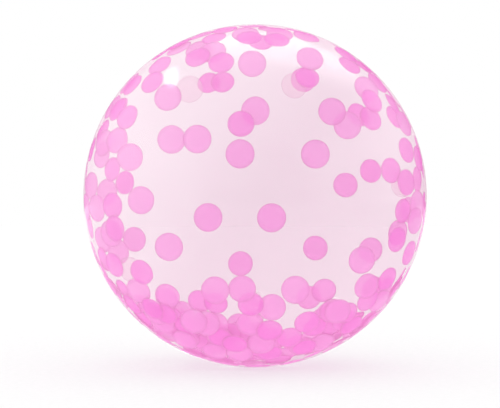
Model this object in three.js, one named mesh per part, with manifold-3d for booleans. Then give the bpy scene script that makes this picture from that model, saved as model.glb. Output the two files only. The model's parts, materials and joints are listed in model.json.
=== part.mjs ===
// Clear bubble balloon: a ball of clear stretch film, blown up tight and sealed, lying loose.
// Units are millimetres and +Z is up. The origin is the middle of the small flat patch that the
// balloon lies on. The gathered neck and its flat welded tail point back (+Y) and downwards.

import * as THREE from 'three';
import { mergeVertices } from 'three/addons/utils/BufferGeometryUtils.js';
import Module from 'manifold-3d';

// Ball
const BALL_DIAMETER = 457; // an 18 inch bubble, measured when full
const BALL_RADIUS = BALL_DIAMETER / 2;
const FLAT_SPOT_RADIUS = 0.12 * BALL_RADIUS; // where the film presses on the floor
const BALL_CENTRE_HEIGHT = Math.sqrt(BALL_RADIUS ** 2 - FLAT_SPOT_RADIUS ** 2);
const MERIDIANS = 72; // facets round the ball
const QUARTER_RINGS = 18; // facets from the equator to a pole

// Neck and tail, measured along the neck's own axis outwards from the ball's surface
const NECK_DROP = THREE.MathUtils.degToRad(40); // how far the neck points below the horizontal
const NECK_FOOT_RADIUS = 30; // where the pleats begin to draw the film in
const WAIST_RADIUS = 6; // the gathered throat
const WAIST_START = 13;
const WAIST_END = 18;
const TAIL_FLAT_START = 34; // from here on the tail is fully flat
const TAIL_LENGTH = 60;
const TAIL_WIDTH = 36;
const TAIL_THICKNESS = 3; // stands for two plies of film and the folds between them
const TAIL_CORNER_RADIUS = 4;
const NECK_SEGMENTS = 48;
const PLEATS = 12;
const PLEAT_DEPTH = 0.12; // of the neck's radius

const wasm = await Module();
wasm.setup();

// Turns a closed three.js geometry into a solid that can be joined to others.
function solidFrom(geometry) {
  const shape = geometry.clone();
  shape.deleteAttribute('normal');
  shape.deleteAttribute('uv');
  const merged = mergeVertices(shape, 1e-4);
  const corners = merged.index.array;
  const triangles = [];
  for (let i = 0; i < corners.length; i += 3) {
    const [a, b, c] = [corners[i], corners[i + 1], corners[i + 2]];
    if (a !== b && b !== c && c !== a) triangles.push(a, b, c);
  }
  return new wasm.Manifold(
    new wasm.Mesh({
      numProp: 3,
      vertProperties: new Float32Array(merged.attributes.position.array),
      triVerts: new Uint32Array(triangles),
    }),
  );
}

function geometryFrom(solid) {
  const mesh = solid.getMesh();
  const geometry = new THREE.BufferGeometry();
  geometry.setAttribute('position', new THREE.BufferAttribute(mesh.vertProperties, 3));
  geometry.setIndex(new THREE.BufferAttribute(mesh.triVerts, 1));
  geometry.computeVertexNormals();
  return geometry;
}

// The ball stands on its flat spot: a profile in (radius, height) turned about the vertical.
function makeBall() {
  const profile = [new THREE.Vector2(0, 0)];
  const lowest = -Math.asin(BALL_CENTRE_HEIGHT / BALL_RADIUS);
  for (let ring = 0; ring <= 2 * QUARTER_RINGS; ring++) {
    const below = ring < QUARTER_RINGS;
    const angle = below
      ? lowest * (1 - ring / QUARTER_RINGS)
      : (Math.PI / 2) * (ring / QUARTER_RINGS - 1);
    const atTop = ring === 2 * QUARTER_RINGS;
    const radius = atTop ? 0 : BALL_RADIUS * Math.cos(angle);
    const height = BALL_CENTRE_HEIGHT + BALL_RADIUS * Math.sin(angle);
    profile.push(new THREE.Vector2(radius, ring === 0 ? 0 : height));
  }
  return new THREE.LatheGeometry(profile, MERIDIANS).rotateX(Math.PI / 2);
}

// The film drawn in to the throat and flattened again beyond it. The axis is +Z from the
// ball's centre, so every height is the ball's radius plus a distance from its surface.
function makeNeck() {
  const footHeight = Math.sqrt(BALL_RADIUS ** 2 - NECK_FOOT_RADIUS ** 2) - BALL_RADIUS;
  const shoulder = new THREE.CubicBezierCurve(
    new THREE.Vector2(NECK_FOOT_RADIUS, footHeight - 0.5),
    new THREE.Vector2(0.4 * NECK_FOOT_RADIUS, 0.5),
    new THREE.Vector2(WAIST_RADIUS, 0.4 * WAIST_START),
    new THREE.Vector2(WAIST_RADIUS, WAIST_START),
  );
  const rootHeight = footHeight - 12; // well inside the ball
  const profile = [
    new THREE.Vector2(0, rootHeight),
    new THREE.Vector2(NECK_FOOT_RADIUS, rootHeight),
    ...shoulder.getPoints(8),
  ];
  const flatteningSteps = 6;
  for (let step = 0; step <= flatteningSteps; step++) {
    const height = THREE.MathUtils.lerp(WAIST_END, TAIL_FLAT_START, step / flatteningSteps);
    profile.push(new THREE.Vector2(WAIST_RADIUS, height));
  }
  profile.push(new THREE.Vector2(0, TAIL_FLAT_START));
  const neck = new THREE.LatheGeometry(profile, NECK_SEGMENTS).rotateX(Math.PI / 2);

  const widest = (0.96 * TAIL_WIDTH) / 2 / WAIST_RADIUS;
  const flattest = (0.8 * TAIL_THICKNESS) / 2 / WAIST_RADIUS;
  const place = neck.attributes.position;
  for (let i = 0; i < place.count; i++) {
    const height = place.getZ(i);
    const gathered = THREE.MathUtils.smoothstep(height, footHeight, WAIST_START);
    const flat = THREE.MathUtils.smoothstep(height, WAIST_END, TAIL_FLAT_START);
    const turn = Math.atan2(place.getY(i), place.getX(i));
    const pleat = 1 + PLEAT_DEPTH * gathered * (1 - flat) * Math.cos(PLEATS * turn);
    const wide = pleat * THREE.MathUtils.lerp(1, widest, flat);
    const thick = pleat * THREE.MathUtils.lerp(1, flattest, flat);
    place.setXYZ(i, place.getX(i) * wide, place.getY(i) * thick, height + BALL_RADIUS);
  }
  return neck;
}

// The flat welded tail: an outline in (width, distance along the axis), given its thickness.
function makeTail() {
  const half = TAIL_WIDTH / 2;
  const corner = TAIL_CORNER_RADIUS;
  const throat = 0.7 * WAIST_RADIUS;
  const flare = (TAIL_FLAT_START - WAIST_END) / 2;
  const outline = new THREE.Shape();
  outline.moveTo(-throat, WAIST_START);
  outline.lineTo(throat, WAIST_START);
  outline.lineTo(throat, WAIST_END);
  outline.bezierCurveTo(
    throat, WAIST_END + flare, half, TAIL_FLAT_START - flare, half, TAIL_FLAT_START,
  );
  outline.lineTo(half, TAIL_LENGTH - corner);
  outline.absarc(half - corner, TAIL_LENGTH - corner, corner, 0, Math.PI / 2, false);
  outline.lineTo(corner - half, TAIL_LENGTH);
  outline.absarc(corner - half, TAIL_LENGTH - corner, corner, Math.PI / 2, Math.PI, false);
  outline.lineTo(-half, TAIL_FLAT_START);
  outline.bezierCurveTo(
    -half, TAIL_FLAT_START - flare, -throat, WAIST_END + flare, -throat, WAIST_END,
  );
  const tail = new THREE.ExtrudeGeometry(outline, {
    depth: TAIL_THICKNESS,
    bevelEnabled: false,
    curveSegments: 6,
  });
  return tail
    .translate(0, BALL_RADIUS, -TAIL_THICKNESS / 2)
    .rotateX(Math.PI / 2);
}

// Tips a shape from the neck's own axis to where the neck points on the finished ball.
function tipToNeck(geometry) {
  return geometry
    .rotateX(-(Math.PI / 2 + NECK_DROP))
    .translate(0, 0, BALL_CENTRE_HEIGHT);
}

const film = new THREE.Mesh(
  geometryFrom(
    solidFrom(makeBall())
      .add(solidFrom(tipToNeck(makeNeck())))
      .add(solidFrom(tipToNeck(makeTail()))),
  ),
  new THREE.MeshStandardMaterial({
    color: 0xf6e4ee,
    roughness: 0.08,
    metalness: 0,
    transparent: true,
    opacity: 0.3,
  }),
);
film.name = 'bubble_film';

const balloon = new THREE.Group();
balloon.add(film);

export default balloon;
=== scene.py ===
import json
import math
import random
from collections import namedtuple

import bpy
import numpy as np
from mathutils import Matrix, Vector


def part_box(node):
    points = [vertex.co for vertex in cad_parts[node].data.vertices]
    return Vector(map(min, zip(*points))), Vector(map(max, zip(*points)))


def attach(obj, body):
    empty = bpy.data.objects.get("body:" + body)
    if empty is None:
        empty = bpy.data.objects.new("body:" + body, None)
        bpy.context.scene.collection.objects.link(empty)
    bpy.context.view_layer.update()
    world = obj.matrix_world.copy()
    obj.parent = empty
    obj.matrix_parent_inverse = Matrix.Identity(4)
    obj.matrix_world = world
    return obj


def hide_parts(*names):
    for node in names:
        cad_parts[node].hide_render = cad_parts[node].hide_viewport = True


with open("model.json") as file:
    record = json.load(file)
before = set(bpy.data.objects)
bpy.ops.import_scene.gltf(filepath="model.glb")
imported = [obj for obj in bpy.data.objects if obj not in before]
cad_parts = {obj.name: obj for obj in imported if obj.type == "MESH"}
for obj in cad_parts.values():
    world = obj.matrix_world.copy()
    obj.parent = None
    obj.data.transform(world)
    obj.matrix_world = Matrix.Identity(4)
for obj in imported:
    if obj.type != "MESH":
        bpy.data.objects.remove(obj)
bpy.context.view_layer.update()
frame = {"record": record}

bl_info = {
    "name": "Bubble Balloon",
    "version": (1, 0, 0),
    "blender": (4, 5, 0),
    "location": "View3D > Sidebar > Balloon",
    "description": "Makes a clear bubble balloon with loose paper confetti round its frame",
    "category": "Add Mesh",
}

MM = 0.001  # lengths in this file are metres

# ---------------------------------------------------------------- the ball and its neck

BALL_LOW, BALL_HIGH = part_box("bubble_film")
BALL_RADIUS = (BALL_HIGH.x - BALL_LOW.x) / 2
BALL_CENTRE = Vector((0, 0, BALL_HIGH.z - BALL_RADIUS))
TAIL_FACE = next(m for m in frame["record"]["mounts"] if m["name"] == "tail_face")
TAIL_NORMAL = Vector(TAIL_FACE["axis"]).normalized()
NECK_AXIS = Vector((0, TAIL_NORMAL.z, -TAIL_NORMAL.y))
NECK_SIDE = Vector((1, 0, 0))

# Distances along the neck are taken outwards from the ball's own surface.
PLEAT_REACH = 85 * MM  # how far from the neck's axis the longest pucker still shows
PUCKERS = 19
PUCKER_RISE = 1.1 * MM
NECK_FOOT = 30 * MM  # the radius at which the film leaves the ball's round
WAIST_RADIUS = 6 * MM
WAIST_START = 13 * MM
WAIST_END = 18 * MM
TAIL_FLAT_START = 34 * MM
TAIL_END = 60 * MM
TAIL_HALF_WIDTH = 17.6 * MM
TAIL_HALF_GAP = 0.9 * MM
FOLD_DEPTH = 0.55 * MM  # the lengthwise folds of the flat tail
FOLD_PITCH = 5.2 * MM
TAIL_SAG = 0.6 * MM
WELD_DEPTH = 0.16 * MM  # the ribs that the sealing iron leaves across the tail's end
WELD_PITCH = 1.6 * MM
FOOT_BLUR = 0.35 * MM  # how softly the flat spot runs out into the round

# The film's mesh: points round it, and rows along its three stretches.
FILM_SPOKES = 256
BALL_ROWS = 132
SHOULDER_ROWS = 14
TAIL_ROWS = 34

# ---------------------------------------------------------------- where the confetti lies

# Longitude turns from the front of the ball towards +X, latitude rises, both in degrees.
# A few rounds are listed in the clear middle; the third number is the depth of the dye.
SINGLE_ONES = [
    (-5, 25, 0.9), (0, 30, 0.2), (-5, 15, 0.2), (20, 15, 0.1), (-15, -5, 0.3), (5, -5, 0.3),
    (-40, 0, 0.2), (-30, -15, 0.1), (40, -20, 0.2), (-20, 20, 0.2), (-30, 20, 0.1),
    (30, 30, 0.2), (35, 25, 0.1), (15, -30, 0.1), (-15, -30, 0.2), (-5, -30, 0.3),
]
# These lie on the far wall, and are given by the spot on the near wall they show behind.
FAR_ONES = [(-5, -20), (20, -15), (30, 5)]
# Rounds of nearly white tissue, on the near wall.
PALE_ONES = [(-30, 40), (20, 45), (-55, -25), (60, 5)]

# Rings of rounds that crowd round the ball as it is seen from the front: how far round from
# the front each ring lies, in degrees, and how many places it has.
CROWD_RINGS = [(53, 17), (64, 27), (75, 32), (86, 40), (108, 12), (128, 9)]
CROWD_OVER_HEAP = 6  # degrees that the crowd stays above the heap's edge

# The lower outline is lined with rounds. In degrees: the clock angles, clockwise from the top
# as seen from the front, between which they lie, and how far round from the front they are.
OUTLINE_START = 118
OUTLINE_END = 250
OUTLINE_STEP = 12
OUTLINE_SLANTS = (78, 82)

# Rows of rounds at the heap's front: their latitude, and the step between them in degrees.
HEAP_ROWS = [(-38, 13), (-46, 13), (-54, 15), (-63, 20)]
HEAP_FRONT_SIDE = 68  # the longitude that the rows reach on either side
HEAP_FRONT_CLIMB = 8  # how many degrees they climb at the sides

# The random heap under those rows, in degrees.
HEAP_TOP = -54  # the latitude that it reaches in front and behind
HEAP_CLIMB = 14  # how far it climbs at the sides
HEAP_HIGHEST = -20  # no place above this latitude is tried
HEAP_THINNING = 25  # the depth below its edge over which it grows dense

# Loose rounds keep this far from the middle of the front view, as a share of the radius.
NEAR_WALL_CLEAR = 0.97
FAR_WALL_CLEAR = 0.93

# Light paper clings by one edge and stands off the film a little, turned to the front:
# the tangent of its slant from straight on is this share of the film's own slant.
LIGHT_SLANT = 0.46
DEEP_SLANT = 0.68
DEEP_WIDTH = 0.91  # the deeper dye wets the tissue more, and it dries narrower
DEEP_SHARE = 0.5  # how many of the clinging rounds took the deeper dye
LIGHT_TONES = (0, 0.35)  # depth of the dye, from 0 to 1
DEEP_TONES = (0.7, 1)
PAPER_BOW = 0.3  # how much of the ball's own curve a round leaves out
LAYER_GAP = 0.45 * MM  # the air between a round and what it lies on
HIGHEST_LIFT = 60 * MM  # a heap that stands further off the wall than this has no room
MOST_TRIES = 20000  # places drawn before a group gives up looking for room
FRONT = Vector((0, -1, 0))

Disc = namedtuple("Disc", "centre across along radius lift lean bow ripple tone seed")


def direction(longitude, latitude):
    """The unit vector from the ball's centre towards a place on its wall."""
    turn, rise = math.radians(longitude), math.radians(latitude)
    flat = math.cos(rise)
    return Vector((flat * math.sin(turn), -flat * math.cos(turn), math.sin(rise)))


def opposite_wall(near, eye):
    """The direction of the far wall's spot that an eye sees straight behind a near one."""
    start = BALL_RADIUS * near
    sight = (BALL_CENTRE + start - eye).normalized()
    return (start - 2 * start.dot(sight) * sight).normalized()


def tangents(centre, spin):
    """Two axes square to a direction, turned about it by spin."""
    helper = Vector((0, 0, 1)) if abs(centre.z) < 0.9 else Vector((1, 0, 0))
    across = centre.cross(helper).normalized()
    along = centre.cross(across)
    c, s = math.cos(spin), math.sin(spin)
    return c * across + s * along, c * along - s * across


def disc_shape(disc, u, v):
    """How far a disc stands in from the wall at its own (u, v), before it is lifted."""
    radius = disc.radius
    reach = u * u + v * v
    crown = disc.bow * (radius * radius - reach) / (2 * BALL_RADIUS)
    size, wave, turn, phase = disc.ripple
    run = u * math.cos(turn) + v * math.sin(turn)
    ripple = size * np.sin(run * wave + phase) * reach / (radius * radius)
    return disc.lean[0] * u + disc.lean[1] * v + crown + ripple


def on_wall(disc, u, v):
    """Unit directions of a disc's points, laid out along the wall from its centre."""
    reach = np.hypot(u, v)
    safe = np.maximum(reach, 1e-9)
    angle = reach / BALL_RADIUS
    side = np.outer(u / safe, disc.across) + np.outer(v / safe, disc.along)
    return np.cos(angle)[:, None] * np.array(disc.centre) + np.sin(angle)[:, None] * side


def ring_points(radius, rings, spokes):
    """The centre and rings of points of a disc of that radius, as two arrays."""
    u, v = [0.0], [0.0]
    for ring in range(1, rings + 1):
        for spoke in range(spokes):
            turn = 2 * math.pi * spoke / spokes
            u.append(radius * ring / rings * math.cos(turn))
            v.append(radius * ring / rings * math.sin(turn))
    return np.array(u), np.array(v)


def facing_slope(centre, tone):
    """How a clinging round stands off the wall: a slope, and the way in which it rises."""
    straight = abs(centre.dot(FRONT))
    if straight > 0.999 or straight < 0.02:
        return Vector((0, 0, 0))
    slant = math.acos(straight)
    share = LIGHT_SLANT + (DEEP_SLANT - LIGHT_SLANT) * tone
    turned = slant - math.atan(share * math.tan(slant))
    toward = math.copysign(1, centre.dot(FRONT)) * FRONT - straight * centre
    return math.tan(turned) * toward.normalized()


class Pile:
    """Discs laid one after another, each resting on the wall or on those under it."""

    def __init__(self, radius, thickness):
        self.radius = radius
        self.thickness = thickness
        self.discs = []
        self.centres = np.zeros((0, 3))

    def place(self, centre, rng, lean=1.2, ripple=0.5 * MM, tone=0.5, facing=False):
        """Lays one disc with a random lean in degrees, and lifts it just clear."""
        across, along = tangents(centre, rng.uniform(0, 2 * math.pi))
        slope = math.tan(math.radians(abs(rng.gauss(0, lean))))
        lean_turn = rng.uniform(0, 2 * math.pi)
        turned = facing_slope(centre, tone) if facing else Vector((0, 0, 0))
        ripple = (
            rng.uniform(0, 1) * ripple,
            2 * math.pi / rng.uniform(22 * MM, 40 * MM),
            rng.uniform(0, math.pi),
            rng.uniform(0, 2 * math.pi),
        )
        disc = Disc(
            centre=centre,
            across=np.array(across),
            along=np.array(along),
            radius=self.radius * (1 - (1 - DEEP_WIDTH) * tone),
            lift=0.0,
            lean=(
                slope * math.cos(lean_turn) + turned.dot(across),
                slope * math.sin(lean_turn) + turned.dot(along),
            ),
            bow=PAPER_BOW,
            ripple=ripple,
            tone=tone,
            seed=rng.uniform(0, 10),
        )
        u, v = ring_points(disc.radius * 1.02, 12, 60)
        own = disc_shape(disc, u, v)
        under = self.support(on_wall(disc, u, v), np.array(centre))
        disc = disc._replace(lift=float(np.max(under - own)) + LAYER_GAP)
        self.discs.append(disc)
        self.centres = np.vstack([self.centres, np.array(centre)])
        return disc

    def support(self, points, centre):
        """How far in from the ball's round the floor or a disc under each point reaches."""
        down = np.maximum(-points[:, 2], 1e-6)
        height = np.maximum(0.0, BALL_RADIUS - (BALL_CENTRE.z - 0.5 * MM) / down)
        if not self.discs:
            return height
        near = self.centres @ centre > math.cos(2.1 * self.radius / BALL_RADIUS)
        for index in np.nonzero(near)[0]:
            below = self.discs[index]
            cosine = np.clip(points @ self.centres[index], -1, 1)
            arc = np.arccos(cosine) * BALL_RADIUS
            covered = arc <= below.radius * 1.01
            if not covered.any():
                continue
            u = points @ below.across
            v = points @ below.along
            span = np.maximum(np.hypot(u, v), 1e-9)
            u, v = u / span * arc, v / span * arc
            top = below.lift + disc_shape(below, u, v) + self.thickness
            height = np.where(covered, np.maximum(height, top), height)
        return height


def heap_edge(longitude):
    """The latitude up to which the random heap climbs: highest at the sides."""
    turn = math.radians(longitude)
    wave = 1.5 * math.sin(3 * turn + 0.7) + math.sin(7 * turn + 2.1)
    return HEAP_TOP + HEAP_CLIMB * math.sin(turn) ** 2 + wave


def round_from_front(clock, slant):
    """The direction that far round from the front, and clockwise from the top, in degrees."""
    clock, slant = math.radians(clock), math.radians(slant)
    side = math.sin(slant)
    return Vector((side * math.sin(clock), -math.cos(slant), side * math.cos(clock)))


def low_outline(rng):
    """Directions along the lower outline: every other one first, then those over the gaps."""
    return [
        round_from_front(clock + rng.uniform(-1.5, 1.5), rng.uniform(*OUTLINE_SLANTS))
        for first in (OUTLINE_START, OUTLINE_START + OUTLINE_STEP // 2)
        for clock in range(first, OUTLINE_END, OUTLINE_STEP)
    ]


def crowd(rng):
    """Directions in loose rings above the heap, thicker towards the outline."""
    places = []
    for slant, count in CROWD_RINGS:
        for index in range(count):
            clock = 360 * (index + rng.uniform(-0.45, 0.45)) / count
            place = round_from_front(clock, slant + rng.uniform(-5, 5))
            longitude = math.degrees(math.atan2(place.x, -place.y))
            latitude = math.degrees(math.asin(place.z))
            if latitude > heap_edge(longitude) + CROWD_OVER_HEAP:
                places.append(place)
    rng.shuffle(places)
    return places


def heap_front(rng):
    """Directions in rough rows over the heap's front, from one side round to the other."""
    places = []
    for latitude, step in HEAP_ROWS:
        for longitude in range(-HEAP_FRONT_SIDE, HEAP_FRONT_SIDE + 1, step):
            climb = HEAP_FRONT_CLIMB * math.sin(math.radians(longitude)) ** 2
            place = (longitude + rng.uniform(-5, 5), latitude + climb + rng.uniform(-3, 3))
            places.append(direction(*place))
    rng.shuffle(places)
    return places


def lay_confetti(sizes):
    """Every round in the ball, in the order it is laid: (clinging, pale, heap) groups."""
    rng = random.Random(sizes.seed)
    pile = Pile(sizes.confetti_diameter / 2, sizes.paper_thickness)

    wall = []
    for place in low_outline(rng):
        wall.append(pile.place(place, rng, lean=0.8, tone=rng.uniform(0.5, 1)))
    for longitude, latitude, tone in SINGLE_ONES:
        wall.append(pile.place(direction(longitude, latitude), rng, 0.8, tone=tone, facing=True))
    for place in crowd(rng) + heap_front(rng):
        tones = DEEP_TONES if rng.random() < DEEP_SHARE else LIGHT_TONES
        tone = rng.uniform(*tones)
        wall.append(pile.place(place, rng, lean=0.8, tone=tone, facing=True))
    for place in FAR_ONES:
        centre = opposite_wall(direction(*place), camera_place())
        wall.append(pile.place(centre, rng, tone=rng.uniform(0, 0.3), facing=True))
    wall += scatter_round_rim(pile, rng, sizes.loose_count)

    pale = [pile.place(direction(*place), rng, tone=0.0, facing=True) for place in PALE_ONES]

    heap = []
    highest = math.radians(HEAP_HIGHEST)
    for _ in range(MOST_TRIES):
        if len(heap) == sizes.heap_count:
            break
        longitude = rng.uniform(-180, 180)
        sink = rng.random()
        latitude = math.degrees(math.asin(-1 + sink * (1 + math.sin(highest))))
        depth = heap_edge(longitude) - latitude
        if depth < 0 or rng.random() > min(1.0, 0.5 + depth / HEAP_THINNING):
            continue
        centre = direction(longitude, latitude)
        tone = rng.uniform(0, 0.5)
        paper = {"lean": 0.7, "ripple": 0.2 * MM, "tone": tone, "facing": True}
        heap.append(pile.place(centre, rng, **paper))
    if len(heap) < sizes.heap_count:
        raise RuntimeError("The heap has no room for so many rounds")
    return wall, pale, heap


def scatter_round_rim(pile, rng, count):
    """Loose discs clinging here and there above the heap, away from the clear front."""
    placed = []
    for _ in range(MOST_TRIES):
        if len(placed) == count:
            break
        rise = rng.uniform(-0.45, 1)
        turn = rng.uniform(-math.pi, math.pi)
        flat = math.sqrt(1 - rise * rise)
        centre = Vector((flat * math.sin(turn), -flat * math.cos(turn), rise))
        from_sight = math.hypot(centre.x, centre.z)
        if from_sight < (NEAR_WALL_CLEAR if centre.y < 0 else FAR_WALL_CLEAR):
            continue
        crowding = pile.centres @ np.array(centre)
        if crowding.max() > math.cos(1.3 * pile.radius / BALL_RADIUS):
            continue
        placed.append(pile.place(centre, rng, lean=2.0, tone=rng.uniform(0.2, 1), facing=True))
    if len(placed) < count:
        raise RuntimeError("The sides have no room for so many loose rounds")
    return placed


# ---------------------------------------------------------------- materials

GATHERED_ALPHA = 0.42  # how much of the film shows where it lies in folds
TISSUE_ALPHA = 0.6
PALE_TISSUE_ALPHA = 0.24
PAINTED_GLOW_SHARE = 0.3  # painted glow: the share of a round's own pink that it gives off by its own light, which lightens the shade under and between the rounds


def linear(hex_colour):
    """An sRGB hex colour as linear red, green and blue."""
    channels = [int(hex_colour[i : i + 2], 16) / 255 for i in (1, 3, 5)]
    return tuple(c / 12.92 if c <= 0.04045 else ((c + 0.055) / 1.055) ** 2.4 for c in channels)


def add(tree, kind, inputs=None, **settings):
    """Adds a node, sets its own settings, and gives each input its value or its link."""
    node = tree.nodes.new(kind)
    for name, value in settings.items():
        setattr(node, name, value)
    for key, value in (inputs or {}).items():
        if isinstance(value, bpy.types.NodeSocket):
            tree.links.new(value, node.inputs[key])
        else:
            node.inputs[key].default_value = value
    return node


def new_material(name):
    """An empty node material with its output, and the tree it lives in."""
    material = bpy.data.materials.new(name)
    material.use_nodes = True
    tree = material.node_tree
    tree.nodes.clear()
    return material, tree, tree.nodes.new("ShaderNodeOutputMaterial")


def noise_at(tree, place, size, detail):
    """Soft noise whose blotches are about that many metres across."""
    inputs = {"Vector": place, "Scale": 1 / size, "Detail": detail}
    return add(tree, "ShaderNodeTexNoise", inputs).outputs["Fac"]


def ranged(tree, value, low, high, start=0.3, stop=0.7, smooth=False):
    """Carries a value from start..stop over to low..high."""
    inputs = {"Value": value, "From Min": start, "From Max": stop, "To Min": low, "To Max": high}
    way = "SMOOTHSTEP" if smooth else "LINEAR"
    return add(tree, "ShaderNodeMapRange", inputs, interpolation_type=way).outputs["Result"]


def blended(tree, share, first, second):
    """A colour between two others."""
    inputs = {0: share, 6: first, 7: second}
    return add(tree, "ShaderNodeMix", inputs, data_type="RGBA").outputs[2]


def blown_stretch_film(colours):
    """Clear TPU film, blown up and stretched: glossy and see-through.

    Its slow swells let reflected lamps waver, and its haze gives them soft edges. Its faint pink cast
    is painted in for the pink light that the confetti throws on it, and is painted paler towards the
    upper left as painted light on that side; the haze varies it a little at random.
    """
    material, tree, output = new_material("tpu_film_blown_clear")
    place = add(tree, "ShaderNodeTexCoord").outputs["Object"]
    haze = noise_at(tree, place, 60 * MM, 3.0)
    swell = noise_at(tree, place, 40 * MM, 1.0)
    bump = add(tree, "ShaderNodeBump", {"Strength": 0.02, "Distance": 1 * MM, "Height": swell})
    # Painted light: the cast is painted paler towards the upper left, where more light falls, with a
    # little random haze on top.
    thick = {0: place, 1: (1, 0, -0.8)}
    thick = add(tree, "ShaderNodeVectorMath", thick, operation="DOT_PRODUCT").outputs["Value"]
    painted_lit_side_and_haze = ranged(tree, thick, 0.2, 0.9, -0.36, -0.18)
    painted_lit_side_and_haze = add(tree, "ShaderNodeMath", {0: haze, 1: 0.2, 2: painted_lit_side_and_haze}, operation="MULTIPLY_ADD")
    tone = blended(tree, painted_lit_side_and_haze.outputs[0], (*colours.film_pale_and_painted_light, 1), (*colours.film, 1))
    shader = add(
        tree,
        "ShaderNodeBsdfPrincipled",
        {
            "Base Color": tone,
            "Alpha": colours.film_alpha,
            "IOR": 1.5,
            "Roughness": ranged(tree, haze, 0.07, 0.16),
            "Normal": bump.outputs["Normal"],
        },
    )
    tree.links.new(shader.outputs["BSDF"], output.inputs["Surface"])
    return material


def gathered_film(colours):
    """The same film bunched at the neck and welded flat in the tail.

    Several folds lie over each other, so it looks milkier, and its creases break the gloss.
    """
    material, tree, output = new_material("tpu_film_gathered_welded")
    place = add(tree, "ShaderNodeTexCoord").outputs["Object"]
    fold = noise_at(tree, place, 5 * MM, 2.0)
    bump = add(tree, "ShaderNodeBump", {"Strength": 0.25, "Distance": 0.5 * MM, "Height": fold})
    shader = add(
        tree,
        "ShaderNodeBsdfPrincipled",
        {
            # The film colour's pink is painted light, as in the blown film. The folds mix it at
            # random with the paler cast.
            "Base Color": blended(tree, fold, (*colours.film, 1), (*colours.film_pale_and_painted_light, 1)),
            "Alpha": GATHERED_ALPHA,
            "IOR": 1.5,
            "Roughness": ranged(tree, fold, 0.15, 0.3),
            "Normal": bump.outputs["Normal"],
        },
    )
    tree.links.new(shader.outputs["BSDF"], output.inputs["Surface"])
    return material


def dyed_tissue(name, light, deep, edge, glow, alpha):
    """Dip-dyed tissue paper, punched into rounds: matt and half see-through.

    The dye took unevenly on the fibres, so each round is faintly cloudy. The punch pressed
    its edge, so a thin darker line shows there. Where rounds overlap, the pink deepens.
    """
    material, tree, output = new_material(name)
    place = add(tree, "ShaderNodeAttribute", attribute_name="paper_place").outputs["Vector"]
    tone = add(tree, "ShaderNodeAttribute", attribute_name="disc_tone").outputs["Fac"]
    rim = add(tree, "ShaderNodeAttribute", attribute_name="disc_rim").outputs["Fac"]
    cloud = noise_at(tree, place, 5 * MM, 4.0)
    fibre = noise_at(tree, place, 0.9 * MM, 2.0)
    paper = add(tree, "ShaderNodeMath", {0: cloud, 1: fibre}).outputs[0]
    uneven = ranged(tree, paper, -0.15, 0.15, 0.7, 1.3)
    amount = add(tree, "ShaderNodeMath", {0: tone, 1: uneven}, use_clamp=True).outputs[0]
    pressed = ranged(tree, rim, 0.0, 1.0, 0.94, 0.96)
    body = blended(tree, amount, (*light, 1), (*deep, 1))
    bump = add(tree, "ShaderNodeBump", {"Strength": 0.3, "Distance": 0.2 * MM, "Height": cloud})
    shader = add(
        tree,
        "ShaderNodeBsdfPrincipled",
        {
            "Base Color": blended(tree, pressed, body, (*edge, 1)),
            "Alpha": alpha,
            "Roughness": 0.85,
            "IOR": 1.47,
            "Specular IOR Level": 0.25,
            # Painted glow: the round gives off some of its own pink by its own light, so the shade in
            # the heap stays light.
            "Emission Color": (*glow, 1),
            "Emission Strength": PAINTED_GLOW_SHARE,
            "Normal": bump.outputs["Normal"],
        },
    )
    tree.links.new(shader.outputs["BSDF"], output.inputs["Surface"])
    return material


def light_table():
    """Opal acrylic sheet, lit from below: an even white glow with a faint grain."""
    material, tree, output = new_material("acrylic_sheet_opal_lit")
    place = add(tree, "ShaderNodeTexCoord").outputs["Object"]
    grain = noise_at(tree, place, 8 * MM, 3.0)
    tone = blended(tree, grain, (0.27, 0.27, 0.27, 1), (0.33, 0.33, 0.33, 1))
    away = add(tree, "ShaderNodeVectorMath", {0: place}, operation="LENGTH").outputs["Value"]
    far = ranged(tree, away, 0.0, TABLE_FAR_GLOW, 0.4, 3.0)
    gloss = {0: softbox_glow(tree, place, *TABLE_STRIP), 1: far}
    gloss = add(tree, "ShaderNodeMath", gloss).outputs[0]
    path = add(tree, "ShaderNodeLightPath").outputs["Is Glossy Ray"]
    glow = {0: gloss, 1: path, 2: TABLE_GLOW}
    glow = add(tree, "ShaderNodeMath", glow, operation="MULTIPLY_ADD").outputs[0]
    shader = add(
        tree,
        "ShaderNodeBsdfPrincipled",
        {
            "Base Color": tone,
            "Roughness": 0.9,
            "Specular IOR Level": 0.0,
            "Emission Color": (1, 1, 1, 1),
            "Emission Strength": glow,
        },
    )
    tree.links.new(shader.outputs["BSDF"], output.inputs["Surface"])
    return material


# ---------------------------------------------------------------- settings a user may change


class BalloonSizes(bpy.types.PropertyGroup):
    """Sizes and amounts of the confetti inside the ball."""

    confetti_diameter: bpy.props.FloatProperty(
        name="Confetti diameter",
        description="Width of one round of paper",
        default=37 * MM,
        min=10 * MM,
        max=60 * MM,
        unit="LENGTH",
    )
    paper_thickness: bpy.props.FloatProperty(
        name="Paper thickness",
        description="Thickness of one round; thicker than real tissue so that it stays a solid sheet",
        default=0.3 * MM,
        min=0.05 * MM,
        max=1 * MM,
        unit="LENGTH",
    )
    heap_count: bpy.props.IntProperty(
        name="Rounds in the heap",
        description="How many rounds lie over each other at the bottom",
        default=95,
        min=0,
        max=450,
    )
    loose_count: bpy.props.IntProperty(
        name="Scattered rounds",
        description="How many more rounds cling to the sides, top and back",
        default=2,
        min=0,
        max=150,
    )
    seed: bpy.props.IntProperty(
        name="Seed",
        description="Changes how the confetti fell",
        default=5,
    )


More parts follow.
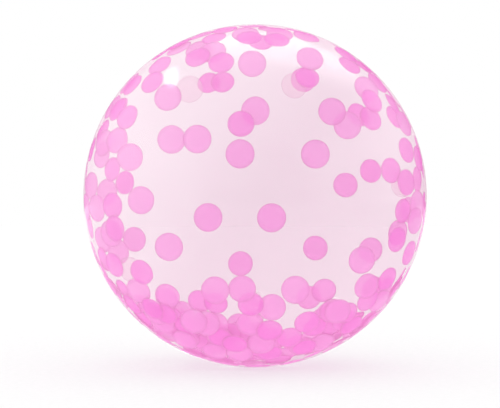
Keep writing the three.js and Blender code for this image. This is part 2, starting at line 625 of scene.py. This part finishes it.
class BalloonColours(bpy.types.PropertyGroup):
    """Colours of the film and the paper."""

    # The film's haze colour. Its pink is painted light, standing in for the light that the pink
    # confetti throws on the film.
    film: bpy.props.FloatVectorProperty(
        name="Film",
        description="The faint cast of the clear film",
        subtype="COLOR",
        size=3,
        min=0,
        max=1,
        default=linear("#CB94B5"),
    )
    # The paler cast is painted light, lighter towards the film's upper left. The gathered folds also
    # mix it in at random.
    film_pale_and_painted_light: bpy.props.FloatVectorProperty(
        name="Film, stretched",
        description="The cast of the film where it is stretched thinner",
        subtype="COLOR",
        size=3,
        min=0,
        max=1,
        default=linear("#E5C7D7"),
    )
    film_alpha: bpy.props.FloatProperty(
        name="Film haze",
        description="How much of the film itself shows: 0 is perfectly clear",
        default=0.28,
        min=0,
        max=1,
        subtype="FACTOR",
    )
    tissue_light: bpy.props.FloatVectorProperty(
        name="Tissue, light",
        description="The paler of the dyed rounds",
        subtype="COLOR",
        size=3,
        min=0,
        max=1,
        default=linear("#D293C6"),
    )
    tissue_deep: bpy.props.FloatVectorProperty(
        name="Tissue, deep",
        description="The stronger of the dyed rounds",
        subtype="COLOR",
        size=3,
        min=0,
        max=1,
        default=linear("#D25EBF"),
    )
    tissue_edge: bpy.props.FloatVectorProperty(
        name="Tissue edge",
        description="The cut edge of a round, where the die pressed it",
        subtype="COLOR",
        size=3,
        min=0,
        max=1,
        default=linear("#C780AE"),
    )
    # Painted glow: the pink that each round gives off by its own light, standing in for light falling
    # on it.
    tissue_painted_glow: bpy.props.FloatVectorProperty(
        name="Painted glow",
        description="The light that the neon dye gives back",
        subtype="COLOR",
        size=3,
        min=0,
        max=1,
        default=linear("#F489D9"),
    )
    tissue_pale: bpy.props.FloatVectorProperty(
        name="Pale tissue",
        description="The few rounds of nearly white tissue",
        subtype="COLOR",
        size=3,
        min=0,
        max=1,
        default=linear("#D3AFC3"),
    )


# ---------------------------------------------------------------- pieces


def mesh_piece(name, points, faces, material, attributes=None):
    """A smooth-shaded mesh object with its material and any point attributes."""
    mesh = bpy.data.meshes.new(name)
    mesh.from_pydata(points, [], faces)
    mesh.update()
    mesh.shade_smooth()
    for key, (kind, field, values) in (attributes or {}).items():
        layer = mesh.attributes.new(key, kind, "POINT")
        layer.data.foreach_set(field, np.asarray(values, np.float32).ravel())
    mesh.materials.append(material)
    piece = bpy.data.objects.new(name, mesh)
    bpy.context.scene.collection.objects.link(piece)
    return piece


def bezier(points, share):
    """A point on a cubic curve given by its four (radius, height) points."""
    a, b, c, d = points
    rest = 1 - share
    weights = (rest**3, 3 * rest * rest * share, 3 * rest * share * share, share**3)
    return tuple(sum(w * p[i] for w, p in zip(weights, (a, b, c, d))) for i in (0, 1))


def smooth_step(low, high, value):
    """0 below low, 1 above high, and a soft rise between them."""
    share = min(max((value - low) / (high - low), 0.0), 1.0)
    return share * share * (3 - 2 * share)


def film_profile():
    """(radius, height from the ball's centre) from the far pole round to the tail's end."""
    foot_angle = math.asin(NECK_FOOT / BALL_RADIUS)
    rows = []
    for step in range(1, BALL_ROWS + 1):
        angle = math.pi - (math.pi - foot_angle) * step / BALL_ROWS
        rows.append((BALL_RADIUS * math.sin(angle), BALL_RADIUS * math.cos(angle)))
    foot_height = rows[-1][1]
    shoulder = (
        (NECK_FOOT, foot_height),
        (0.4 * NECK_FOOT, BALL_RADIUS + 0.5 * MM),
        (WAIST_RADIUS, BALL_RADIUS + 0.4 * WAIST_START),
        (WAIST_RADIUS, BALL_RADIUS + WAIST_START),
    )
    rows += [bezier(shoulder, step / SHOULDER_ROWS) for step in range(1, SHOULDER_ROWS + 1)]
    for step in range(1, TAIL_ROWS + 1):
        along = WAIST_START + (TAIL_END - WAIST_START) * step / TAIL_ROWS
        rows.append((WAIST_RADIUS, BALL_RADIUS + along))
    return rows


def pucker_pattern(seed, count):
    """Irregular gathers round the neck: (angle, width, strength, reach) of each ridge."""
    rng = random.Random(seed)
    ridges = []
    for index in range(count):
        turn = 2 * math.pi * (index + rng.uniform(-0.3, 0.3)) / count
        width = rng.uniform(0.55, 0.95) * math.pi / count
        ridges.append((turn, width, rng.uniform(0.6, 1.0), rng.uniform(0.45, 1.0)))
    return ridges


def film_point(radius, height, turn, ridges):
    """One point of the film in the neck's own frame, puckered, gathered and flattened."""
    out = height - BALL_RADIUS
    gather = 0.0
    for ridge, width, strength, reach in ridges:
        apart = (turn - ridge + math.pi) % (2 * math.pi) - math.pi
        if abs(apart) < 3 * width:
            fade = 1 - smooth_step(0.35 * PLEAT_REACH * reach, PLEAT_REACH * reach, radius)
            gather += strength * fade * math.exp(-((apart / width) ** 2))
    flat = smooth_step(WAIST_END, TAIL_FLAT_START, out)
    near_neck = height > 0
    rise = PUCKER_RISE * gather if near_neck else 0.0
    if radius <= NECK_FOOT and near_neck:
        rise = min(rise, 0.22 * radius * gather)
    wide = 1 + (TAIL_HALF_WIDTH / WAIST_RADIUS - 1) * flat
    closing = smooth_step(TAIL_END - 9 * MM, TAIL_END - 6 * MM, out)
    half_gap = TAIL_HALF_GAP * (1 - 0.8 * closing)
    thick = 1 + (half_gap / WAIST_RADIUS - 1) * flat
    grown = radius + rise * (1 - flat) * (0.35 if out > 0 else 0.1)
    x = grown * wide * math.cos(turn)
    y = grown * thick * math.sin(turn)
    if out < 1 * MM:
        height += 0.9 * rise * (1 - flat)
    if flat > 0:
        fold = FOLD_DEPTH * math.sin(x / FOLD_PITCH + 0.6) * flat
        weld = WELD_DEPTH * math.cos(2 * math.pi * out / WELD_PITCH) * closing
        sag = TAIL_SAG * math.sin(out / (9 * MM))
        y += fold * (1 - 0.5 * closing) + flat * sag + weld * (1 if y > 0 else -1)
    return x, y, height


def flatten_foot(place):
    """Presses the lowest part of the ball flat on what it lies on, with a soft edge."""
    return Vector((place.x, place.y, (place.z + math.hypot(place.z, FOOT_BLUR)) / 2))


def make_film(colours):
    """The ball, neck and welded tail as one closed skin of film."""
    spokes = FILM_SPOKES
    ridges = pucker_pattern(3, PUCKERS)
    depth_axis = NECK_AXIS.cross(NECK_SIDE)
    points = [BALL_CENTRE - BALL_RADIUS * NECK_AXIS]
    rows = film_profile()
    for radius, height in rows:
        for spoke in range(spokes):
            turn = 2 * math.pi * spoke / spokes
            x, y, out = film_point(radius, height, turn, ridges)
            place = BALL_CENTRE + x * NECK_SIDE + y * depth_axis + out * NECK_AXIS
            points.append(flatten_foot(place))
    faces = [(0, 1 + (spoke + 1) % spokes, 1 + spoke) for spoke in range(spokes)]
    for row in range(len(rows) - 1):
        start = 1 + row * spokes
        for spoke in range(spokes):
            after = (spoke + 1) % spokes
            a, b = start + spoke, start + after
            faces.append((a, b, b + spokes, a + spokes))
    last = 1 + (len(rows) - 1) * spokes
    for spoke in range(spokes // 2):
        other = (spokes - spoke) % spokes
        inner = spokes - spoke - 1
        if spoke == 0:
            faces.append((last, last + 1, last + inner))
        elif spoke + 1 == inner:
            faces.append((last + spoke, last + spoke + 1, last + other))
        else:
            faces.append((last + spoke, last + spoke + 1, last + inner, last + other))
    film = mesh_piece("balloon_film", points, faces, blown_stretch_film(colours))
    film.data.materials.append(gathered_film(colours))
    # The film looks gathered from the shoulder's last rows, near the waist, to the tail's end.
    throat = 0.3 * NECK_FOOT
    first = next(i for i, (radius, out) in enumerate(rows) if out > 0 and radius < throat)
    for face in film.data.polygons[first * spokes :]:
        face.material_index = 1
    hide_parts("bubble_film")
    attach(film, "root")
    return film


def make_discs(name, discs, sizes, material):
    """Joins rounds of paper, each a thin closed sheet, into one piece."""
    rings, spokes = 3, 36
    count = 1 + rings * spokes
    sheet = [(0, 1 + s, 1 + (s + 1) % spokes) for s in range(spokes)]
    for ring in range(rings - 1):
        start = 1 + ring * spokes
        for s in range(spokes):
            a, b = start + s, start + (s + 1) % spokes
            sheet.append((a, a + spokes, b + spokes, b))
    rim_start = 1 + (rings - 1) * spokes
    points, faces, tones, rims, places = [], [], [], [], []
    centre = np.array(BALL_CENTRE)
    for index, disc in enumerate(discs):
        base = index * 2 * count
        u, v = ring_points(disc.radius, rings, spokes)
        depth = disc.lift + disc_shape(disc, u, v)
        out = on_wall(disc, u, v)
        for extra in (0.0, sizes.paper_thickness):
            points.append(centre + out * (BALL_RADIUS - depth - extra)[:, None])
            tones.append(np.full(count, disc.tone))
            rims.append(np.hypot(u, v) / disc.radius)
            places.append(np.column_stack([u + disc.seed, v, np.full(count, disc.seed)]))
        faces += [tuple(base + i for i in face) for face in sheet]
        faces += [tuple(base + count + i for i in reversed(face)) for face in sheet]
        for s in range(spokes):
            a, b = base + rim_start + s, base + rim_start + (s + 1) % spokes
            faces.append((a, a + count, b + count, b))
    piece = mesh_piece(
        name,
        np.vstack(points).tolist(),
        faces,
        material,
        {
            "disc_tone": ("FLOAT", "value", np.concatenate(tones)),
            "disc_rim": ("FLOAT", "value", np.concatenate(rims)),
            "paper_place": ("FLOAT_VECTOR", "vector", np.vstack(places)),
        },
    )
    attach(piece, "root")
    return piece


# ---------------------------------------------------------------- stage

CAMERA_DISTANCE = 11.5 * BALL_RADIUS
CAMERA_ELEVATION = 2
CAMERA_LENS = 141.6
FRAME_NUDGE = Vector((-6.7 * MM, 0, -10.7 * MM))  # the ball sits a little up and right

# How bright the tent's gloss is, from behind the camera (0) to behind the ball (1).
TENT_WALLS = [
    (0.0, 0.03), (0.08, 0.2), (0.16, 0.7), (0.3, 0.9), (0.45, 1.1), (0.55, 1.2),
    (0.66, 1.1), (0.78, 0.8), (0.88, 0.45), (0.95, 0.22), (1.0, 0.22),
]
# Pink sheets hang at the tent's two ends, and tint the film where it is seen edge-on.
TENT_ENDS = linear("#FF6FCB")
TENT_GLOSS = 4.2  # the tent's brightness as the gloss shows it
TENT_SKIRT = 0.6  # how much of that is left at the level of the table
TENT_CEILING = 0.45  # and straight above
TENT_LIGHT = 1.37  # the soft light that the tent throws on the balloon
TABLE_RADIANCE = 0.62
TABLE_GLOW = 0.6
TABLE_FAR_GLOW = 0.8  # how much brighter the table's far part is in the gloss

# Lit panels of the tent: direction, the way in which it is longer, core, edge, radiance.
SOFTBOXES = [
    ((-0.538, 0.382, 0.752), (0.25, 0.78, -0.23), 0.025, 0.075, 16.0),
    ((0.64, 0.549, 0.538), (0, 0, 0), 0.05, 0.25, 1.0),
]
# The brighter strip of the light table behind the ball, seen in gloss on its far wall:
# centre, the way in which it is longer, core, edge, radiance.
TABLE_STRIP = (
    (-0.2 * BALL_RADIUS, 2.1 * BALL_RADIUS, 0.0),
    (0, 0.67, 0),
    0.39 * BALL_RADIUS,
    0.78 * BALL_RADIUS,
    11.5,
)


def camera_place():
    """Where the camera stands: before the ball and a little above its middle."""
    rise = math.radians(CAMERA_ELEVATION)
    back = Vector((0, -math.cos(rise), math.sin(rise)))
    return BALL_CENTRE + FRAME_NUDGE + CAMERA_DISTANCE * back


def make_camera():
    """A long lens aimed at the ball, so that its outline stays round."""
    data = bpy.data.cameras.new("camera")
    data.lens = CAMERA_LENS
    camera = bpy.data.objects.new("camera", data)
    camera.location = camera_place()
    sight = BALL_CENTRE + FRAME_NUDGE - camera.location
    camera.rotation_euler = sight.to_track_quat("-Z", "Y").to_euler()
    bpy.context.scene.collection.objects.link(camera)
    bpy.context.scene.camera = camera


def tent_walls(tree, way):
    """The tent's own brightness in gloss: dim and pink at its ends, bright at the sides."""
    depth = add(tree, "ShaderNodeSeparateXYZ", {"Vector": way}).outputs["Y"]
    walls = add(tree, "ShaderNodeValToRGB", {"Fac": ranged(tree, depth, 0.0, 1.0, -1.0, 1.0)})
    stops = walls.color_ramp.elements
    while len(stops) < len(TENT_WALLS):
        stops.new(1.0)
    for stop, (position, level) in zip(stops, TENT_WALLS):
        tint = TENT_ENDS if position > 0.9 or position < 0.1 else (1, 1, 1)
        stop.position = position
        stop.color = (*(level * channel for channel in tint), 1)
    return walls.outputs["Color"]


def softbox_glow(tree, way, toward, longer, core, edge, radiance):
    """One soft-edged lit panel of the tent, as a strength over directions."""
    offset = add(tree, "ShaderNodeVectorMath", {0: way, 1: toward}, operation="SUBTRACT")
    offset = offset.outputs["Vector"]
    run = add(tree, "ShaderNodeVectorMath", {0: offset, 1: longer}, operation="DOT_PRODUCT")
    taken = {0: longer, "Scale": run.outputs["Value"]}
    taken = add(tree, "ShaderNodeVectorMath", taken, operation="SCALE").outputs["Vector"]
    short = add(tree, "ShaderNodeVectorMath", {0: offset, 1: taken}, operation="SUBTRACT")
    away = add(tree, "ShaderNodeVectorMath", {0: short.outputs["Vector"]}, operation="LENGTH")
    return ranged(tree, away.outputs["Value"], radiance, 0.0, core, edge, smooth=True)


def make_tent():
    """A white tent whose lit panels are seen in the gloss, with a dim mouth at the camera."""
    world = bpy.data.worlds.new("white_tent")
    bpy.context.scene.world = world
    world.cycles.sampling_method = "NONE"
    world.use_nodes = True
    tree = world.node_tree
    tree.nodes.clear()
    output = tree.nodes.new("ShaderNodeOutputWorld")
    way = add(tree, "ShaderNodeTexCoord").outputs["Generated"]
    white = (1, 1, 1, 1)
    side = add(tree, "ShaderNodeVectorMath", {0: way, 1: (-1, 0, 0.5)}, operation="DOT_PRODUCT")
    sides = ranged(tree, side.outputs["Value"], 0.95 * TENT_GLOSS, 0.85 * TENT_GLOSS, -1.0, 1.0)
    rise = add(tree, "ShaderNodeSeparateXYZ", {"Vector": way}).outputs["Z"]
    skirt = ranged(tree, rise, TENT_SKIRT, 1.0, 0.0, 0.35, smooth=True)
    ceiling = ranged(tree, rise, 1.0, TENT_CEILING, 0.4, 0.85, smooth=True)
    drop = add(tree, "ShaderNodeMath", {0: skirt, 1: ceiling}, operation="MULTIPLY").outputs[0]
    strength = add(tree, "ShaderNodeMath", {0: sides, 1: drop}, operation="MULTIPLY").outputs[0]
    gloss = {"Color": tent_walls(tree, way), "Strength": strength}
    gloss = add(tree, "ShaderNodeBackground", gloss).outputs[0]
    for panel in SOFTBOXES:
        glow = add(
            tree,
            "ShaderNodeBackground",
            {"Color": white, "Strength": softbox_glow(tree, way, *panel)},
        )
        gloss = add(tree, "ShaderNodeAddShader", {0: gloss, 1: glow.outputs[0]}).outputs[0]
    soft = add(tree, "ShaderNodeBackground", {"Color": white, "Strength": TENT_LIGHT})
    seen = add(tree, "ShaderNodeBackground", {"Color": white, "Strength": 1.0})
    path = add(tree, "ShaderNodeLightPath").outputs
    lit = {0: path["Is Glossy Ray"], 1: soft.outputs[0], 2: gloss}
    lit = add(tree, "ShaderNodeMixShader", lit)
    whole = {0: path["Is Camera Ray"], 1: lit.outputs[0], 2: seen.outputs[0]}
    whole = add(tree, "ShaderNodeMixShader", whole)
    tree.links.new(whole.outputs[0], output.inputs["Surface"])


def make_table_lamp():
    """The lamp of the light table, which lights the underside of the balloon."""
    data = bpy.data.lights.new("table_lamp", "AREA")
    data.shape = "DISK"
    data.size = 1.2
    data.energy = TABLE_RADIANCE * math.pi * math.pi * (data.size / 2) ** 2
    lamp = bpy.data.objects.new("table_lamp", data)
    lamp.location.z = 0.1 * MM
    lamp.rotation_euler.x = math.pi
    lamp.visible_camera = False
    lamp.visible_glossy = False
    bpy.context.scene.collection.objects.link(lamp)


def make_floor():
    """A round light table under the balloon."""
    rings, spokes, radius = 24, 96, 4.0
    points = [(0, 0, 0)]
    for ring in range(1, rings + 1):
        reach = radius * (ring / rings) ** 2
        for spoke in range(spokes):
            turn = 2 * math.pi * spoke / spokes
            points.append((reach * math.cos(turn), reach * math.sin(turn), 0))
    faces = [(0, 1 + s, 1 + (s + 1) % spokes) for s in range(spokes)]
    for ring in range(rings - 1):
        start = 1 + ring * spokes
        for s in range(spokes):
            a, b = start + s, start + (s + 1) % spokes
            faces.append((a, a + spokes, b + spokes, b))
    floor = mesh_piece("floor", points, faces, light_table())
    floor.location.z = -0.2 * MM
    return floor


# ---------------------------------------------------------------- operators


class BALLOON_OT_film(bpy.types.Operator):
    """Make the clear film ball with its gathered neck and welded tail"""

    bl_idname = "balloon.film"
    bl_label = "Film ball"

    def execute(self, context):
        if BALL_RADIUS <= PLEAT_REACH:
            raise RuntimeError("The frame's ball is too small for the neck and its puckers")
        make_film(context.scene.balloon_colours)
        return {"FINISHED"}


class BALLOON_OT_confetti(bpy.types.Operator):
    """Make the rounds of tissue paper: clinging, pale and heaped"""

    bl_idname = "balloon.confetti"
    bl_label = "Confetti"

    def execute(self, context):
        sizes = context.scene.balloon_sizes
        colours = context.scene.balloon_colours
        wall, pale, heap = lay_confetti(sizes)
        if max(disc.lift for disc in wall + pale + heap) > HIGHEST_LIFT:
            raise RuntimeError("The rounds pile up too high: take a lower heap count")
        pink = dyed_tissue(
            "tissue_paper_dyed_pink",
            tuple(colours.tissue_light),
            tuple(colours.tissue_deep),
            tuple(colours.tissue_edge),
            tuple(colours.tissue_painted_glow),
            TISSUE_ALPHA,
        )
        faint = dyed_tissue(
            "tissue_paper_dyed_pale",
            tuple(colours.tissue_pale),
            tuple(colours.tissue_pale),
            tuple(colours.tissue_edge),
            # The pale rounds get a painted glow in their own colour.
            tuple(colours.tissue_pale),
            PALE_TISSUE_ALPHA,
        )
        make_discs("confetti_clinging", wall, sizes, pink)
        make_discs("confetti_heap", heap, sizes, pink)
        make_discs("confetti_pale", pale, sizes, faint)
        return {"FINISHED"}


class BALLOON_OT_stage(bpy.types.Operator):
    """Set the camera, the white tent and the light table under the balloon"""

    bl_idname = "balloon.stage"
    bl_label = "Stage"

    def execute(self, context):
        scene = context.scene
        if "balloon_film" not in scene.objects:
            raise RuntimeError("The film ball is made before its stage")
        scene.view_settings.view_transform = "Standard"
        scene.cycles.transparent_max_bounces = 64
        make_camera()
        make_tent()
        make_table_lamp()
        make_floor()
        return {"FINISHED"}


class BALLOON_PT_sidebar(bpy.types.Panel):
    """The balloon's sizes, colours and pieces"""

    bl_label = "Bubble balloon"
    bl_idname = "BALLOON_PT_sidebar"
    bl_space_type = "VIEW_3D"
    bl_region_type = "UI"
    bl_category = "Balloon"

    def draw(self, context):
        column = self.layout.column()
        for group in (context.scene.balloon_sizes, context.scene.balloon_colours):
            for name in group.bl_rna.properties.keys():
                if name not in ("rna_type", "name"):
                    column.prop(group, name)
        for operator in OPERATORS:
            column.operator(operator.bl_idname)


OPERATORS = (BALLOON_OT_film, BALLOON_OT_confetti, BALLOON_OT_stage)
CLASSES = (BalloonSizes, BalloonColours, *OPERATORS, BALLOON_PT_sidebar)


def register():
    """Registers the settings, operators and panel, and puts the settings on the scene."""
    for cls in CLASSES:
        bpy.utils.register_class(cls)
    bpy.types.Scene.balloon_sizes = bpy.props.PointerProperty(type=BalloonSizes)
    bpy.types.Scene.balloon_colours = bpy.props.PointerProperty(type=BalloonColours)


def unregister():
    """Takes away what register added."""
    del bpy.types.Scene.balloon_colours
    del bpy.types.Scene.balloon_sizes
    for cls in reversed(CLASSES):
        bpy.utils.unregister_class(cls)


def main():
    """Makes the film, the confetti and the stage."""
    register()
    bpy.ops.balloon.film()
    bpy.ops.balloon.confetti()
    bpy.ops.balloon.stage()


if __name__ == "__main__":
    main()
